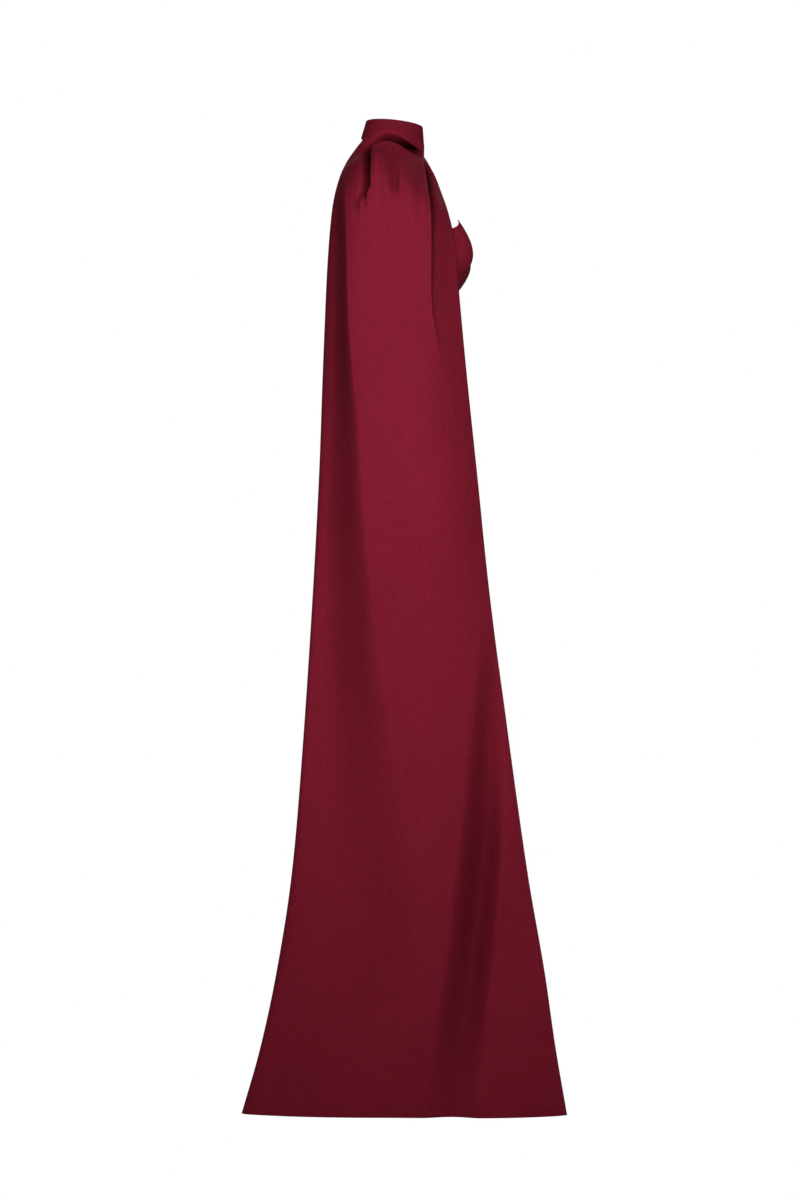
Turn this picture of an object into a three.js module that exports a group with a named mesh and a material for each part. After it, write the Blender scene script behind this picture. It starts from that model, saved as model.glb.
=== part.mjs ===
// A strapless floor-length evening gown with a neckband and one long cape over the right shoulder.
// Millimetres, +Z up. The wearer faces -Y, so the wearer's right side is -X.
// The origin is the centre of the neckband. Every panel is an open-ended cloth wall, hung as it is worn.
// Places are given as forward of the origin, towards the wearer's right side, and drop below the origin.
import * as THREE from "three";

// Cloth and seams
const CLOTH = 1.8; // crepe with its facing
const BAND_CLOTH = 2.4; // interfaced neckband
const SEAM_GAP = 0.4;

// Lengths below the centre of the neckband
const WAIST = 390;
const DRESS_HEM = 1568;

// Cloth colour
const CRIMSON = new THREE.Color(0.36, 0.055, 0.1);

// The dress on a general figure: forward reach, reach behind, half width, and how square the section is.
const FIGURE = [
  { drop: 140, front: 88, back: 82, side: 131, square: 2.5 },
  { drop: 205, front: 93, back: 88, side: 139, square: 2.5 },
  { drop: 275, front: 89, back: 83, side: 129, square: 2.4 },
  { drop: 390, front: 87, back: 68, side: 118, square: 2.2 },
  { drop: 480, front: 100, back: 96, side: 154, square: 2.2 },
  { drop: 590, front: 106, back: 112, side: 174, square: 2.2 },
  { drop: 720, front: 110, back: 112, side: 176, square: 2.2 },
  { drop: 950, front: 122, back: 121, side: 178, square: 2.1 },
  { drop: 1250, front: 148, back: 156, side: 183, square: 2.0 },
  { drop: 1568, front: 178, back: 200, side: 190, square: 2.0 },
];

// Bust shaping: where a cup is fullest, how far it stands out, and how soon it dies away
const CUP = { side: 88, drop: 203, reach: 49.5, inner: 46, outer: 34, above: 57, below: 46, end: 0.35 };

// Sweetheart top edge: its dip at the centre front, its points on the princess seams, its sides and its back.
// Each fall is the length in which it drops most of the way, and run is its length either side of a point.
const EDGE = { centre: 206, point: 147, under_arm: 183, back: 198, inner_fall: 24, outer_fall: 38, run: 90 };

// Princess seam, as an angle from the centre front
const PRINCESS = { top: 0.545, waist: 0.5 };

// Soft flutes of the skirt, with a hollow under the cape
const FLUTES = { count: 7, start: 700, depth: 9, turn: -Math.PI / 2 };

// Neckband: where each rim lies at the nape and at the throat
const BAND = {
  top: { nape: -43, throat: 51, side: 46.5, nape_drop: -25, throat_drop: -15 },
  bottom: { nape: -51, throat: 53, side: 51, nape_drop: 1.5, throat_drop: 13.5 },
  slit: 0.6, // opening at the nape, closed by hooks
  columns: 40,
  rows: 3,
};

const SIDE_SEAM = Math.PI / 2;
const BACK_SEAM = Math.PI;

// Cape sections from just below the neck seam to the hem.
// down: length along the shoulder; *_drop: how low the section hangs behind, at the side and in front;
// back and front: the outline seen from the side; edge, rear, near, ahead: how far to the side the section
// is at its free back edge, at the back of its outline, at its outermost point and at its front edge;
// rear_square and front_square: how boxy it turns.
const CAPE_COLUMNS = [
  "down", "back_drop", "near_drop", "front_drop", "back", "front",
  "edge", "rear", "near", "ahead", "rear_square", "front_square",
];
const CAPE_ROWS = [
  [23, 21, 14, 35, -56, 53.5, 28, 35, 68, 14, 2.0, 3.0],
  [61, 49, 37, 67, -74, 69, 30, 42, 104, 36, 2.0, 2.6],
  [122, 85, 63, 103, -87, 81, 33, 50, 159, 66, 2.0, 2.4],
  [185, 129, 106, 141, -96, 91.5, 36, 60, 202, 104, 2.1, 2.4],
  [248, 190, 168, 190, -102, 101, 40, 70, 211, 132, 2.3, 2.5],
  [318, 260, 245, 260, -106, 106.6, 45, 76, 215, 141, 2.4, 2.6],
  [458, 400, 396, 400, -111.4, 119.4, 55, 88, 220, 150, 2.4, 2.6],
  [618, 560, 560, 560, -116.5, 135.8, 72, 104, 225, 158, 2.3, 2.5],
  [818, 760, 760, 760, -126.5, 156.2, 94, 124, 232, 168, 2.2, 2.4],
  [1058, 1000, 1000, 1000, -141.7, 187.4, 120, 148, 240, 180, 2.1, 2.3],
  [1258, 1200, 1200, 1200, -158.5, 215.4, 144, 168, 247, 190, 2.0, 2.2],
  [1408, 1350, 1350, 1350, -181.6, 241, 162, 182, 252, 198, 2.0, 2.2],
  [1528, 1470, 1470, 1470, -207.2, 258.1, 177, 193, 256, 204, 2.0, 2.2],
  [1628, 1571, 1569, 1575, -235.9, 276, 188, 200, 260, 208, 2.0, 2.2],
].map((row) => Object.fromEntries(row.map((value, i) => [CAPE_COLUMNS[i], value])));
const CAPE_TURN = 0.62; // where the section is outermost, from the back of the outline to the front edge
const CAPE_WRAP = 0.1; // share of the cloth that lies behind, past the back of the outline
const CAPE_INSET = 5; // how far that share turns in again
const CAPE_MESH = { shoulder: 190, shoulder_rows: 24, fall_rows: 18, closer: 1.4 };

// The cape's neck seam: its front, the back of its outline and its end, as angles round the neckband from the
// throat; its gap to the band; the length in which the cape takes its own form; and where its roll may rise.
const CAPE_SEAM = { front: 0.04, back: 2.53, end: 2.75, gap: 0.45, blend: 23, flat: 2.5, rise: 7 };

// Hanging folds of the cape: three drops, the forward place of the crease at each, its depth at the ends,
// and how wide its two slopes are at the top and at the bottom.
const FOLDS = [
  { name: "front pleat", drop: [34, 170, 402], forward: [60, 75, 92],
    depth: [20, 26], behind: [10, 13], ahead: [26, 40], fade: [30, 130] },
  { name: "rear fold, high", drop: [100, 330, 760], forward: [-80, -77, -56],
    depth: [18, 22], behind: [28, 50], ahead: [10, 17], fade: [70, 300] },
  { name: "rear fold, low", drop: [440, 1000, 1530], forward: [-74, -34, -4],
    depth: [15, 9], behind: [44, 60], ahead: [14, 50], fade: [330, 330] },
  { name: "front flute", drop: [800, 1190, 1600], forward: [170, 136, 100],
    depth: [24, 20], behind: [44, 66], ahead: [22, 46], fade: [330, 150] },
  { name: "shoulder gather", drop: [50, 92, 140], forward: [-13, -3, 11],
    depth: [8, 6], behind: [13, 16], ahead: [12, 18], fade: [26, 34] },
  { name: "front gather", drop: [50, 90, 150], forward: [30, 33, 37],
    depth: [3, 3], behind: [12, 14], ahead: [12, 14], fade: [30, 50] },
];

// Where the two long folds run across the cape, from 0 at the front edge to 1 at the free back edge.
const CAPE_LINES = [
  { down: 0, front: 0.068, rear: 0.7 },
  { down: 100, front: 0.065, rear: 0.71 },
  { down: 190, front: 0.065, rear: 0.67 },
  { down: 390, front: 0.068, rear: 0.588 },
  { down: 620, front: 0.072, rear: 0.53 },
  { down: 820, front: 0.082, rear: 0.487 },
  { down: 1058, front: 0.105, rear: 0.422 },
  { down: 1250, front: 0.125, rear: 0.39 },
  { down: 1628, front: 0.2, rear: 0.33 },
];

// Strips of the cape's mesh, from the front edge back, each ending a little past one of those lines.
const CAPE_STRIPS = [
  { line: "front", past: 0, columns: 4 },
  { line: "front", past: 0.05, columns: 5 },
  { line: "rear", past: -0.06, columns: 16 },
  { line: "rear", past: 0.08, columns: 10 },
  { columns: 7 },
];

// The roll of cloth that stands up under the neckband. It grows longer towards the throat.
const ROLL = {
  length: 21,
  height: 13,
  droop: { more: 9, from: 5, run: 35 },
  back: { from: -50, run: 34 },
  front: { to: 52, run: 34 },
};

// The crease below the roll, which turns down behind the shoulder. Its slopes are named as seen from inside
// the roll: before it and past it, along the top and along the leg that runs down.
const CREASE = {
  top_depth: 7,
  leg_depth: 13,
  top_slopes: { before: 6, past: 15 },
  leg_slopes: { before: 20, past: 7 },
  hollow: { forward: 26, reach: 18, depth: 5 }, // deepest place, under the front of the roll
  leg: { forward: -42, end: 178, fade: 50, hook: 13 },
  corner: 30, // radius where the top turns into the leg
  turn: { from: -6, run: 30, until: 96, over: 60 }, // where the top's form gives way to the leg's
};

const clamp = (x, low, high) => Math.min(Math.max(x, low), high);
const mix = (a, b, t) => a + (b - a) * t;
const ease = (t) => {
  const x = clamp(t, 0, 1);
  return x * x * (3 - 2 * x);
};
const bell = (t) => (Math.abs(t) < 1 ? (1 - t * t) ** 2 : 0);
const gauss = (x, spread) => Math.exp(-((x / spread) ** 2) / 2);
const place = (forward, side, drop) => new THREE.Vector3(-side, -forward, -drop);

// A smooth curve through one column of a table.
function curve(rows, key, name) {
  const xs = rows.map((row) => row[key]);
  const ys = rows.map((row) => row[name]);
  const last = xs.length - 1;
  const slopes = ys.map((_, i) => {
    const a = Math.max(i - 1, 0);
    const b = Math.min(i + 1, last);
    return (ys[b] - ys[a]) / (xs[b] - xs[a]);
  });
  return (value) => {
    const x = clamp(value, xs[0], xs[last]);
    let i = 0;
    while (i < last - 1 && x > xs[i + 1]) i += 1;
    const span = xs[i + 1] - xs[i];
    const t = (x - xs[i]) / span;
    const rise = ys[i + 1] - ys[i];
    const start = slopes[i] * span - rise;
    const end = rise - slopes[i + 1] * span;
    return ys[i] + rise * t + t * (1 - t) * (start * (1 - t) + end * t);
  };
}

function curves(rows, key) {
  const names = Object.keys(rows[0]).filter((name) => name !== key);
  const made = names.map((name) => [name, curve(rows, key, name)]);
  return (value) => Object.fromEntries(made.map(([name, at]) => [name, at(value)]));
}

const figureAt = curves(FIGURE, "drop");
const capeAt = curves(CAPE_ROWS, "down");
const capeLinesAt = curves(CAPE_LINES, "down");

// A point of the dress. The angle is 0 at the centre front and grows towards the wearer's right.
function dress(angle, drop) {
  const { front, back, side: half, square } = figureAt(drop);
  const power = 2 / square;
  const along = Math.cos(angle);
  const across = Math.sin(angle);
  const flute = ease((drop - FLUTES.start) / (DRESS_HEM - FLUTES.start)) * FLUTES.depth;
  const swell = 1 + (flute / half) * Math.cos(FLUTES.count * angle + FLUTES.turn);
  const side = Math.sign(across) * half * Math.abs(across) ** power * swell;
  let forward = (along > 0 ? front : -back) * Math.abs(along) ** power * swell;
  if (along > 0) {
    const from_point = Math.abs(side) - CUP.side;
    const from_level = drop - CUP.drop;
    forward += CUP.reach * gauss(from_point, from_point < 0 ? CUP.inner : CUP.outer)
      * gauss(from_level, from_level < 0 ? CUP.above : CUP.below) * ease(along / CUP.end);
  }
  return place(forward, side, drop);
}

// How low the top edge of the bodice is at an angle.
function topEdge(angle) {
  const turn = Math.abs(angle);
  if (turn <= PRINCESS.top) {
    const run = (PRINCESS.top - turn) / PRINCESS.top;
    return mix(EDGE.point, EDGE.centre, 1 - Math.exp((-run * EDGE.run) / EDGE.inner_fall));
  }
  const run = (turn - PRINCESS.top) / (SIDE_SEAM - PRINCESS.top);
  const side = mix(EDGE.point, EDGE.under_arm, 1 - Math.exp((-run * EDGE.run) / EDGE.outer_fall));
  return mix(side, EDGE.back, ease((turn - SIDE_SEAM) / (BACK_SEAM - SIDE_SEAM)));
}

// Where a princess seam runs, from the top edge to the waist.
const princess = (down) => mix(PRINCESS.top, PRINCESS.waist, down);

// A point of the neckband. The angle is 0 at the throat, and down is 0 at the upper rim and 1 at the lower.
function band(angle, down) {
  const { top, bottom } = BAND;
  const turn = (1 + Math.cos(angle)) / 2;
  const between = (nape, throat) => mix(
    mix(top[nape], top[throat], turn),
    mix(bottom[nape], bottom[throat], turn),
    down,
  );
  const side = mix(top.side, bottom.side, down) * Math.sin(angle);
  return place(between("nape", "throat"), side, between("nape_drop", "throat_drop"));
}

// A value given at the top, middle and bottom of a fold, at a drop between them.
function foldValue(fold, values, drop) {
  const [top, middle, bottom] = fold.drop;
  const x = clamp(drop, top, bottom);
  const a = ((x - middle) * (x - bottom)) / ((top - middle) * (top - bottom));
  const b = ((x - top) * (x - bottom)) / ((middle - top) * (middle - bottom));
  const c = ((x - top) * (x - middle)) / ((bottom - top) * (bottom - middle));
  return values[0] * a + values[1] * b + values[2] * c;
}

// How deep the hanging folds press the cape in at a place seen from the side.
function foldDepth(forward, drop) {
  let depth = 0;
  for (const fold of FOLDS) {
    const [top, , bottom] = fold.drop;
    const share = clamp((drop - top) / (bottom - top), 0, 1);
    const fade = ease((drop - top) / fold.fade[0]) * ease((bottom - drop) / fold.fade[1]);
    const off = forward - foldValue(fold, fold.forward, drop);
    const slope = off < 0 ? mix(...fold.behind, share) : mix(...fold.ahead, share);
    depth += mix(...fold.depth, share) * fade * bell(off / slope);
  }
  return depth;
}

// How far the roll and its crease lift the cape.
function rollLift(forward, down) {
  const { droop, back, front } = ROLL;
  const { hollow, leg, corner, turn, top_slopes, leg_slopes } = CREASE;
  const length = ROLL.length + droop.more * ease((forward - droop.from) / droop.run);
  const ends = ease((front.to - forward) / front.run);
  const bulge = ROLL.height * bell(2 * down / length - 1.05) * ends * ease((forward - back.from) / back.run);

  const hook = leg.hook * ease((down - leg.end + leg.fade) / leg.fade);
  const past_leg = forward - leg.forward + hook;
  const past_top = down - length;
  const past = past_leg < corner && past_top < corner
    ? corner - Math.hypot(corner - past_leg, corner - past_top)
    : Math.min(past_leg, past_top);
  const top = ease((past_leg - turn.from) / turn.run) * ease((turn.until - down) / turn.over);
  const deeper = hollow.depth * bell((forward - hollow.forward) / hollow.reach);
  const depth = mix(CREASE.leg_depth, CREASE.top_depth + deeper, top);
  const side = past < 0 ? "before" : "past";
  const slope = mix(leg_slopes[side], top_slopes[side], top);
  return bulge - depth * bell(past / slope) * ends * ease((leg.end - down) / leg.fade);
}

// A point of the cape's neck seam, under the neckband.
function capeSeam(across) {
  const { front, back, end, gap } = CAPE_SEAM;
  const share = across / (1 - CAPE_WRAP);
  const turn = share > 1
    ? mix(back, end, (across - 1 + CAPE_WRAP) / CAPE_WRAP)
    : Math.acos(mix(Math.cos(back), Math.cos(front), 1 - Math.sin(share * SIDE_SEAM)));
  const point = band(turn, 1);
  return {
    forward: -point.y + gap * Math.cos(turn),
    side: -point.x + gap * Math.sin(turn),
    drop: -point.z + gap,
  };
}

// A point of one cape section, without its folds.
function capeSection(across, row) {
  if (across > 1 - CAPE_WRAP) {
    const share = (across - 1 + CAPE_WRAP) / CAPE_WRAP;
    const forward = row.back + CAPE_INSET * share ** 2;
    return { forward, side: mix(row.rear, row.edge, share), drop: row.back_drop };
  }
  const t = 1 - across / (1 - CAPE_WRAP);
  const forward = mix(row.back, row.front, 1 - Math.cos((t * Math.PI) / 2));
  if (t < CAPE_TURN) {
    const share = (CAPE_TURN - t) / CAPE_TURN;
    return {
      forward,
      side: mix(row.near, row.rear, share ** row.rear_square),
      drop: mix(row.near_drop, row.back_drop, ease(share)),
    };
  }
  const share = (t - CAPE_TURN) / (1 - CAPE_TURN);
  return {
    forward,
    side: mix(row.near, row.ahead, share ** row.front_square),
    drop: mix(row.near_drop, row.front_drop, ease(share)),
  };
}

// A point of the cape before its folds. across is 0 at the front edge and 1 at the free back edge.
function capeForm(across, down) {
  const section = capeSection(across, capeAt(down));
  const seam = capeSeam(across);
  const share = clamp(down / CAPE_SEAM.blend, 0, 1);
  return {
    forward: mix(seam.forward, section.forward, share),
    side: mix(seam.side, section.side, share),
    drop: mix(seam.drop, section.drop, share),
  };
}

const capeFormPoint = (across, down) => {
  const { forward, side, drop } = capeForm(across, down);
  return place(forward, side, drop);
};

// The outward normal of a surface, where the first parameter grows from front to back on the right side.
// A range gives the lowest and highest value of a parameter, and the step in which its slope is taken.
function normalOf(surface, a, b, a_range, b_range) {
  const ahead = surface(Math.min(a + a_range.step, a_range.high), b);
  const behind = surface(Math.max(a - a_range.step, a_range.low), b);
  const below = surface(a, Math.min(b + b_range.step, b_range.high));
  const above = surface(a, Math.max(b - b_range.step, b_range.low));
  return ahead.sub(behind).cross(below.sub(above)).normalize();
}

const ANY_ANGLE = { low: -2 * Math.PI, high: 2 * Math.PI, step: 0.03 };
const ANY_DROP = { low: 0, high: 2 * DRESS_HEM, step: 2.5 };
const BAND_DOWN = { low: 0, high: 1, step: 0.01 };
const CAPE_ACROSS = { low: 0, high: 1, step: 0.0025 };
const CAPE_DOWN = { low: 0, high: CAPE_ROWS.at(-1).down, step: 2 };

// A point of the draped cape.
function cape(across, down) {
  const { forward, side, drop } = capeForm(across, down);
  const normal = normalOf(capeFormPoint, across, down, CAPE_ACROSS, CAPE_DOWN);
  normal.y = 0; // folds leave the outline seen from the side as it is
  const from_seam = ease((down - CAPE_SEAM.flat) / CAPE_SEAM.rise);
  const lift = (rollLift(forward, down) - foldDepth(forward, drop)) * from_seam;
  return place(forward, side, drop).addScaledVector(normal, lift);
}

// A closed cloth wall: an outer grid, the same grid moved in by the thickness, and a rim between them.
function wall(name, surface, thickness, columns, rows, at, a_range, b_range) {
  const outer = [];
  const inner = [];
  for (let j = 0; j <= rows; j += 1) {
    for (let i = 0; i <= columns; i += 1) {
      const [a, b] = at(i / columns, j / rows);
      const point = surface(a, b);
      const normal = normalOf(surface, a, b, a_range, b_range);
      outer.push(point);
      inner.push(point.clone().addScaledVector(normal, -thickness));
    }
  }
  const count = outer.length;
  const index = (i, j) => j * (columns + 1) + i;
  const triangles = [];
  for (let j = 0; j < rows; j += 1) {
    for (let i = 0; i < columns; i += 1) {
      const [a, b, c, d] = [index(i, j), index(i + 1, j), index(i + 1, j + 1), index(i, j + 1)];
      triangles.push(a, b, c, a, c, d);
      triangles.push(count + a, count + c, count + b, count + a, count + d, count + c);
    }
  }
  const loop = [];
  for (let i = 0; i < columns; i += 1) loop.push(index(i, 0));
  for (let j = 0; j < rows; j += 1) loop.push(index(columns, j));
  for (let i = columns; i > 0; i -= 1) loop.push(index(i, rows));
  for (let j = rows; j > 0; j -= 1) loop.push(index(0, j));
  loop.forEach((p, k) => {
    const q = loop[(k + 1) % loop.length];
    triangles.push(q, p, count + p, q, count + p, count + q);
  });
  const geometry = new THREE.BufferGeometry();
  const positions = [...outer, ...inner].flatMap((point) => point.toArray());
  geometry.setAttribute("position", new THREE.Float32BufferAttribute(positions, 3));
  geometry.setIndex(triangles);
  geometry.computeVertexNormals();
  const material = new THREE.MeshStandardMaterial({ color: CRIMSON, roughness: 0.55, metalness: 0 });
  const mesh = new THREE.Mesh(geometry, material);
  mesh.name = name;
  return mesh;
}

// A panel of the dress between two seams, given by their angles, and two edges, given by their drops.
function dressPanel({ name, from, to, columns }, rows, top, bottom) {
  const at = (u, v) => {
    const inset = SEAM_GAP / 2 / figureAt(mix(EDGE.back, bottom, v)).back;
    const angle = mix(from(v) + inset, to(v) - inset, u);
    return [angle, mix(top(angle), bottom, v)];
  };
  return wall(name, dress, CLOTH, columns, rows, at, ANY_ANGLE, ANY_DROP);
}

function bodice() {
  const rows = 12;
  const panels = [
    { name: "bodice_front", from: (v) => -princess(v), to: princess, columns: 12 },
    { name: "bodice_side_right", from: princess, to: () => SIDE_SEAM, columns: 10 },
    { name: "bodice_side_left", from: () => -SIDE_SEAM, to: (v) => -princess(v), columns: 10 },
    { name: "bodice_back_right", from: () => SIDE_SEAM, to: () => BACK_SEAM, columns: 10 },
    { name: "bodice_back_left", from: () => -BACK_SEAM, to: () => -SIDE_SEAM, columns: 10 },
  ];
  return panels.map((panel) => dressPanel(panel, rows, topEdge, WAIST - SEAM_GAP / 2));
}

function skirt() {
  const rows = 14;
  const panels = [
    { name: "skirt_front", from: () => -SIDE_SEAM, to: () => SIDE_SEAM, columns: 28 },
    { name: "skirt_back_right", from: () => SIDE_SEAM, to: () => BACK_SEAM, columns: 14 },
    { name: "skirt_back_left", from: () => -BACK_SEAM, to: () => -SIDE_SEAM, columns: 14 },
  ];
  return panels.map((panel) => dressPanel(panel, rows, () => WAIST + SEAM_GAP / 2, DRESS_HEM));
}

function neckband() {
  const end = BACK_SEAM - BAND.slit / 2 / BAND.bottom.side;
  const at = (u, v) => [mix(-end, end, u), v];
  return wall("neckband", band, BAND_CLOTH, BAND.columns, BAND.rows, at, ANY_ANGLE, BAND_DOWN);
}

// The length down the cape at one row of its mesh. Rows lie closer together where the roll is.
function capeRow(row) {
  const { shoulder, shoulder_rows, fall_rows, closer } = CAPE_MESH;
  return row <= shoulder_rows
    ? shoulder * (row / shoulder_rows) ** closer
    : mix(shoulder, CAPE_DOWN.high, (row - shoulder_rows) / fall_rows);
}

// The cape's columns follow its two long folds, with as many before, between and after them in every row.
function capePanel() {
  const rows = CAPE_MESH.shoulder_rows + CAPE_MESH.fall_rows;
  const columns = CAPE_STRIPS.reduce((sum, strip) => sum + strip.columns, 0);
  const at = (u, v) => {
    const down = capeRow(Math.round(v * rows));
    const lines = capeLinesAt(down);
    let column = Math.round(u * columns);
    let from = 0;
    for (const strip of CAPE_STRIPS) {
      const to = strip.line ? lines[strip.line] + strip.past : 1;
      if (column <= strip.columns) return [mix(from, to, column / strip.columns), down];
      column -= strip.columns;
      from = to;
    }
    return [1, down];
  };
  return wall("cape", cape, CLOTH, columns, rows, at, CAPE_ACROSS, CAPE_DOWN);
}

const gown = new THREE.Group();
gown.name = "evening_gown";
gown.add(neckband(), capePanel(), ...bodice(), ...skirt());

export default gown;
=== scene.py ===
"""An evening gown in crimson satin-backed crepe: neckband, one long cape, bodice and skirt.

Each panel is laid as a fine cloth shell on the form of its solid. The tables are in millimetres, and give
places as forward of the neckband's centre, towards the wearer's right side, and drop below that centre.
The wearer faces -Y and Z is up.
"""
import math

import bpy
import numpy as np
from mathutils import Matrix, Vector


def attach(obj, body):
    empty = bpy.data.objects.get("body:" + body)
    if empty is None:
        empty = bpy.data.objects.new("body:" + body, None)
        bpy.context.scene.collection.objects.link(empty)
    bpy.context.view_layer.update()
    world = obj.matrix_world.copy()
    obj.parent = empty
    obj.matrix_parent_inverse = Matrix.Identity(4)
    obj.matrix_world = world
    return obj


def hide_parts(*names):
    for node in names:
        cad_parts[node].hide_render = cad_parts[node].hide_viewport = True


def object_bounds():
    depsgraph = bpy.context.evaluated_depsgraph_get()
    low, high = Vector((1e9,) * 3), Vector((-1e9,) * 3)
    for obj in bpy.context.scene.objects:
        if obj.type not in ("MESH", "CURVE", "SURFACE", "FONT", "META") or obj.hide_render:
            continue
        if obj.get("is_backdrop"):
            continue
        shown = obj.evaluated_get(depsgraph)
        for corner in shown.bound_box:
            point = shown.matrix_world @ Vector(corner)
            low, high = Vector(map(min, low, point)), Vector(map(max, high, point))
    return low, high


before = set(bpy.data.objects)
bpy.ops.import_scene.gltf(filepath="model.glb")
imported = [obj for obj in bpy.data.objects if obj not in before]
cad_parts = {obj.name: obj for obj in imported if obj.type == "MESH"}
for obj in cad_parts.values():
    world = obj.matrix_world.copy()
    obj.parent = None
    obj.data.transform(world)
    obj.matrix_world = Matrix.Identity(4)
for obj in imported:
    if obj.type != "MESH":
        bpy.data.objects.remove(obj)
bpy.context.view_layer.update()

bl_info = {
    "name": "Evening gown",
    "version": (1, 0, 0),
    "blender": (4, 5, 0),
    "location": "3D View > Sidebar > Gown",
    "description": "Builds a crepe evening gown with a neckband and a long cape over the right shoulder",
    "category": "Add Mesh",
}

MM = 0.001
SIDE_SEAM = math.pi / 2
BACK_SEAM = math.pi
WAIST = 390
DRESS_HEM = 1568

# The dress on a general figure: forward reach, reach behind, half width, and how square the section is.
FIGURE_COLUMNS = ("drop", "front", "back", "side", "square")
FIGURE = [
    (140, 88, 82, 131, 2.5),
    (205, 93, 88, 139, 2.5),
    (275, 89, 83, 129, 2.4),
    (390, 87, 68, 118, 2.2),
    (480, 100, 96, 154, 2.2),
    (590, 106, 112, 174, 2.2),
    (720, 110, 112, 176, 2.2),
    (950, 122, 121, 178, 2.1),
    (1250, 148, 156, 183, 2.0),
    (1568, 178, 200, 190, 2.0),
]
CUP = {
    "side": 88, "drop": 203, "reach": 49.5, "inner": 46, "outer": 34, "above": 57, "below": 46, "end": 0.35,
}
EDGE = {
    "centre": 206, "point": 147, "under_arm": 183, "back": 198, "inner_fall": 24, "outer_fall": 38, "run": 90,
}
PRINCESS = {"top": 0.545, "waist": 0.5}

# Flutes of the skirt: how many waves go round, how deep at the hem, and how far each set is turned.
FLUTES_START = 700
FLUTES = [(7, 9.0, -math.pi / 2), (3, 1.6, 0.8), (11, 1.5, 2.1), (16, 0.9, 4.0)]

# Neckband: where each rim lies at the nape and at the throat.
BAND_TOP = {"nape": -43, "throat": 51, "side": 46.5, "nape_drop": -25, "throat_drop": -15}
BAND_BOTTOM = {"nape": -51, "throat": 53, "side": 51, "nape_drop": 1.5, "throat_drop": 13.5}
BAND_SLIT = 0.6

# Cape sections from just below the neck seam to the hem. down: length along the shoulder; *_drop: how low the
# section hangs behind, at the side and in front; back and front: the outline seen from the side; edge, rear,
# near, ahead: how far to the side the section is at its free back edge, at the back of its outline, at its
# outermost point and at its front edge; rear_square and front_square: the powers of its turns behind that
# point and ahead of it.
CAPE_COLUMNS = (
    "down", "back_drop", "near_drop", "front_drop", "back", "front",
    "edge", "rear", "near", "ahead", "rear_square", "front_square",
)
CAPE_ROWS = [
    (23, 21, 14, 35, -56, 53.5, 28, 35, 68, 14, 1.8, 3.0),
    (61, 49, 35, 67, -74, 69, 30, 46, 106, 38, 2.2, 3.2),
    (122, 85, 60, 103, -87, 81, 33, 74, 162, 68, 2.8, 3.4),
    (185, 129, 106, 141, -96, 91.5, 36, 90, 204, 106, 3.2, 3.5),
    (248, 190, 168, 190, -102, 101, 40, 90, 211, 132, 3.4, 3.5),
    (318, 260, 245, 260, -106, 106.6, 45, 93, 215, 141, 3.4, 3.4),
    (458, 400, 396, 400, -111.4, 119.4, 55, 104, 220, 150, 3.2, 3.2),
    (618, 560, 560, 560, -116.5, 135.8, 72, 128, 225, 158, 3.0, 3.0),
    (818, 760, 760, 760, -126.5, 156.2, 94, 148, 232, 168, 2.8, 2.8),
    (1058, 1000, 1000, 1000, -141.7, 187.4, 120, 170, 240, 180, 2.7, 2.5),
    (1258, 1200, 1200, 1200, -158.5, 215.4, 144, 186, 247, 190, 2.6, 2.2),
    (1408, 1350, 1350, 1350, -181.6, 241, 162, 196, 252, 198, 2.5, 2.2),
    (1528, 1470, 1470, 1470, -207.2, 258.1, 177, 203, 256, 204, 2.4, 2.2),
    (1628, 1571, 1569, 1575, -235.9, 276, 188, 208, 260, 208, 2.4, 2.2),
]
CAPE_END = 1628
CAPE_TURN = 0.62
CAPE_WRAP = 0.1
CAPE_INSET = 5
CAPE_CORNER = 9
CAPE_CORNER_RUN = 0.15
CAPE_SEAM = {"front": 0.04, "back": 2.53, "end": 2.75, "gap": 0.45, "blend": 23, "flat": 2.5, "rise": 7}

# Hanging folds of the cape, each from its top to its bottom: the drop, the forward place of the deepest line,
# its depth, how wide its slopes are behind it and ahead of it, and how far the deepest line slides forward
# under the ridge beside it (backward where it is negative).
FOLD_COLUMNS = ("drop", "forward", "depth", "behind", "ahead", "slide")
HANGING_FOLDS = {
    "front pleat": [
        (45, 53, 0, 4, 8, -2),
        (62, 57, 20, 4, 11, -5),
        (100, 61, 25, 4, 12, -6),
        (150, 66, 16, 4, 12, -5),
        (210, 67.5, 8, 5, 12, -3),
        (290, 67, 5, 5, 12, -2),
        (340, 73, 3, 5, 12, -1),
        (390, 86, 0, 5, 12, 0),
    ],
    "front flute": [
        (800, 166, 0, 26, 24, 0),
        (892, 158, 10, 28, 26, 0),
        (1020, 151, 22, 34, 32, 0),
        (1148, 145, 32, 41, 36, 0),
        (1276, 132, 34, 44, 38, 0),
        (1404, 116, 28, 46, 40, 0),
        (1531, 99, 16, 50, 44, 0),
        (1600, 94, 8, 52, 46, 0),
    ],
}

# The front pleat rises steeply ahead of its deepest line, with a slightly rounded bottom.
FOLD_SHARP = {"front pleat": True, "front flute": False}
FOLD_ROUND = 0.12
FOLD_POWER = 1.8

# How fast painted shade darkens the insides of the hanging folds and of the gathers, a millimetre of their
# depth.
# Below IN_A_FOLD a place counts as outside the gathers and the crease.
FOLD_SHADE = {"front pleat": 0.05, "front flute": 0.0125}
GATHER_SHADE = 0.034
IN_A_FOLD = 0.02

# The painted highlight on the pressed ridges behind and in front of the arm: how much it lightens them where
# their steps are this deep, how wide its lines are, where the rear one ends, and from which painted shade on a
# fold has no highlight line.
RIDGE_LIGHT = {
    "rear": 0.2, "rear_depth": 45, "rear_end": 470, "rear_fade": 220, "front": 0.3, "front_depth": 20,
    "width": 1.7, "most_shade": 0.2,
}

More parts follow.
